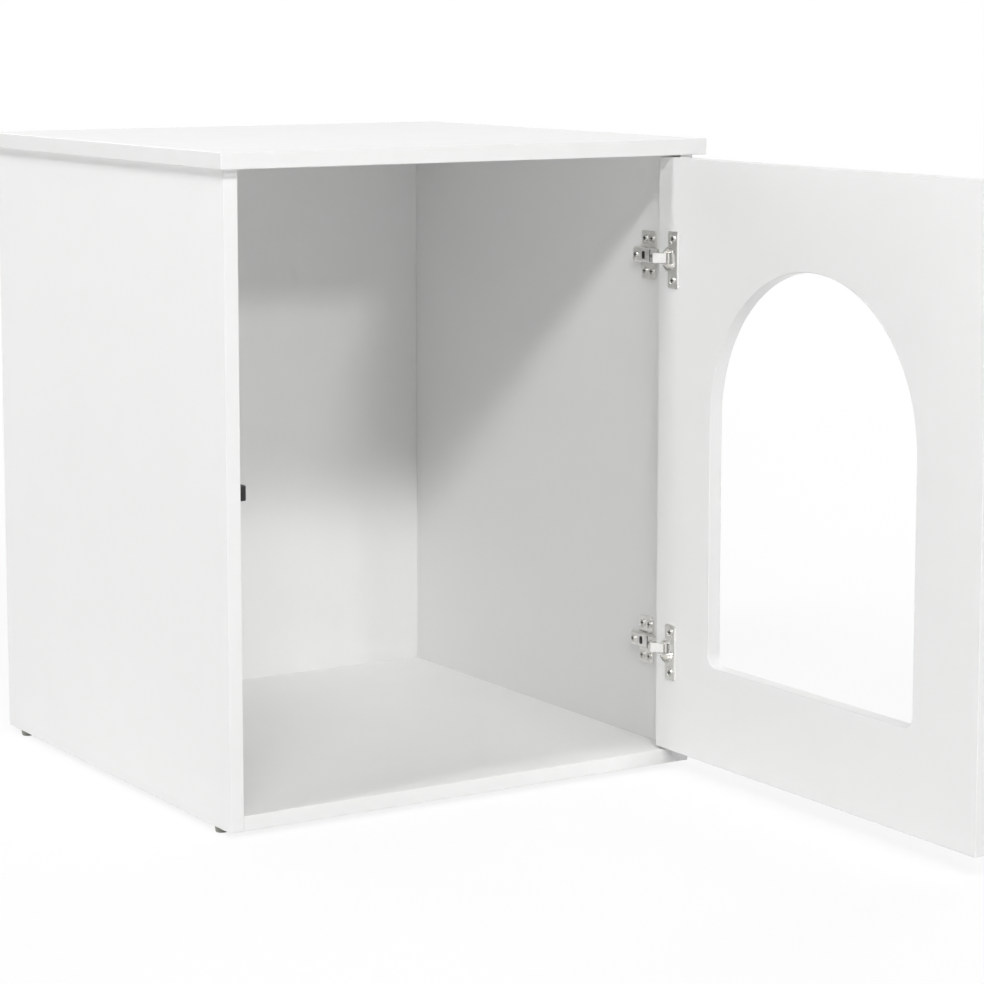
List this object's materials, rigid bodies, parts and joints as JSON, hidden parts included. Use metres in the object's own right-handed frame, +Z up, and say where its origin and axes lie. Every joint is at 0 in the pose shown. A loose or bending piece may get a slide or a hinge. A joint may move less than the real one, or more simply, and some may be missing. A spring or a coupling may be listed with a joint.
{
  "type": "cat house",
  "caption": "White panel cabinet for a cat, with an overhanging top and a side-hung inset door that has a round-headed arch as the cat's way in.",
  "frame": {"origin": "on the floor, in the middle of the four feet", "axes": "+Z up, +X to the right seen from the front, the front and the open door face -Y"},
  "size_m": [0.55, 1.0086, 0.65],
  "materials": {
    "white_laminate": "white melamine-faced chipboard, satin, edge-banded",
    "white_hardboard": "thin hardboard, white-faced inside and outside",
    "grey_plastic": "grey moulded plastic",
    "zinc_steel": "zinc-plated steel",
    "cast_zinc": "die-cast zinc",
    "white_plastic": "white plastic caps",
    "beech": "bare fluted beech",
    "nickel_steel": "nickel-plated pressed steel",
    "nickel_screws": "nickel-plated screws",
    "black_plastic": "black moulded plastic",
    "black_rubber": "soft black pad"
  },
  "bodies": {
    "cabinet": {"top_panel": "white_laminate", "left_side_panel": "white_laminate", "right_side_panel": "white_laminate", "base_panel": "white_laminate", "back_panel": "white_hardboard", "back_panel_nails": "zinc_steel", "front_left_foot": "grey_plastic", "front_right_foot": "grey_plastic", "rear_left_foot": "grey_plastic", "rear_right_foot": "grey_plastic", "foot_nails": "zinc_steel", "top_dowels": "beech", "base_dowels": "beech", "top_cam_bolts": "zinc_steel", "base_cam_bolts": "zinc_steel", "top_cams": "cast_zinc", "base_cams": "cast_zinc", "cam_caps": "white_plastic", "upper_hinge_plate": "nickel_steel", "lower_hinge_plate": "nickel_steel", "upper_hinge_arm": "nickel_steel", "lower_hinge_arm": "nickel_steel", "hinge_plate_screws": "nickel_screws", "hinge_fixing_screws": "nickel_screws", "hinge_adjusting_screws": "nickel_screws", "door_stop": "black_plastic", "door_stop_screws": "nickel_screws", "door_stop_pad": "black_rubber"},
    "door": {"door_panel": "white_laminate", "upper_hinge_cup": "nickel_steel", "lower_hinge_cup": "nickel_steel", "upper_hinge_pin": "nickel_steel", "lower_hinge_pin": "nickel_steel", "hinge_cup_screws": "nickel_screws"}
  },
  "joints": [
    {"name": "door_hinge", "type": "hinge", "parent": "cabinet", "child": "door", "pos_m": [0.2424, -0.2539, 0.3275], "axis": [0, 0, 1], "range_deg": [-90, 5]}
  ]
}
